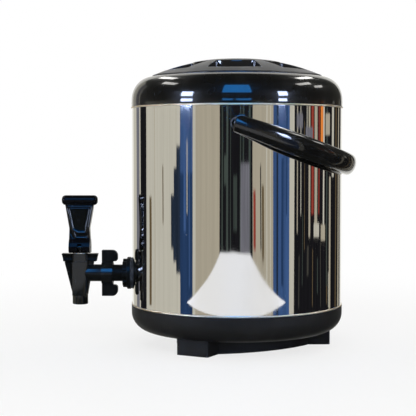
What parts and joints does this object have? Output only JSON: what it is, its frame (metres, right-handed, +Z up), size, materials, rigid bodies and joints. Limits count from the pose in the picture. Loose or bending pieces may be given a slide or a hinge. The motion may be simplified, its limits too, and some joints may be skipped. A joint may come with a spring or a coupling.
{
  "type": "insulated drink dispenser",
  "caption": "Insulated drink dispenser: double-walled round steel barrel with a domed lift-off lid, a swinging carrying bail, feet and a lever tap with a wing nut.",
  "frame": {"origin": "on the barrel's axis, in the plane that the feet stand on", "axes": "+Z up; -X from the barrel to the tap; the bail turns about a line along Y, and +X is the side that it rests on"},
  "size_m": [0.3665, 0.3104, 0.3522],
  "materials": {
    "mirror_steel": "polished",
    "pot_steel": "satin",
    "pin_steel": "satin",
    "gloss_black": "gloss",
    "satin_black": "satin",
    "matte_black": "matte",
    "tap_black": "satin",
    "lever_black": "gloss",
    "liner_black": "satin",
    "silicone": "satin",
    "pad_rubber": "matte",
    "foam": "matte"
  },
  "bodies": {
    "barrel": {"outer_shell": "mirror_steel", "inner_pot": "pot_steel", "insulation_foam": "foam", "shoulder_ring": "gloss_black", "rim_gasket": "silicone", "base_bowl": "matte_black", "foot_pads": "pad_rubber", "foam_fill_plug": "matte_black", "left_pivot_boss": "satin_black", "right_pivot_boss": "satin_black", "pivot_pins": "pin_steel", "pivot_plates": "pin_steel", "tap_shank": "tap_black", "outer_nut": "tap_black", "outer_washer": "pad_rubber", "wall_sleeve": "liner_black", "inner_washer": "pad_rubber", "inner_nut": "tap_black", "tail_seal": "silicone", "tap_body": "tap_black", "tap_bonnet": "tap_black"},
    "lid": {"lid_cover": "satin_black", "lid_liner": "liner_black", "lid_foam": "foam", "lid_seal": "silicone"},
    "bail": {"bail_handle": "gloss_black"},
    "swivel": {"slip_washer": "silicone"},
    "stem": {"valve_stem": "tap_black", "seat_cup": "silicone"},
    "lever": {"tap_lever": "lever_black", "lever_pin": "pin_steel"},
    "wing_nut": {"wing_nut": "tap_black"}
  },
  "joints": [
    {"name": "bail_swing", "type": "hinge", "parent": "barrel", "child": "bail", "pos_m": [0, 0, 0.2709], "axis": [0, -1, 0], "range_deg": [0, 218.6]},
    {"name": "lid_lift", "type": "slide", "parent": "barrel", "child": "lid", "axis": [0, 0, 1], "range_m": [0, 0.05]},
    {"name": "lever_swivel", "type": "hinge", "parent": "barrel", "child": "swivel", "pos_m": [-0.1962, 0, 0.112], "axis": [0, 0, 1], "continuous": true},
    {"name": "stem_lift", "type": "slide", "parent": "swivel", "child": "stem", "axis": [0, 0, 1], "range_m": [0, 0.0036]},
    {"name": "lever_tilt", "type": "hinge", "parent": "stem", "child": "lever", "pos_m": [-0.1962, 0, 0.11905], "axis": [1, 0, 0], "range_deg": [0, 45], "stiffness_Nm_per_rad": 0.12, "springref_deg": -20.05},
    {"name": "wing_nut_turn", "type": "hinge", "parent": "barrel", "child": "wing_nut", "pos_m": [-0.1617, 0, 0.0868], "axis": [1, 0, 0], "range_deg": [-180, 0]}
  ],
  "couplings": [
    {"joint": "stem_lift", "follows": "lever_tilt", "m_per_rad": 0.0045}
  ]
}
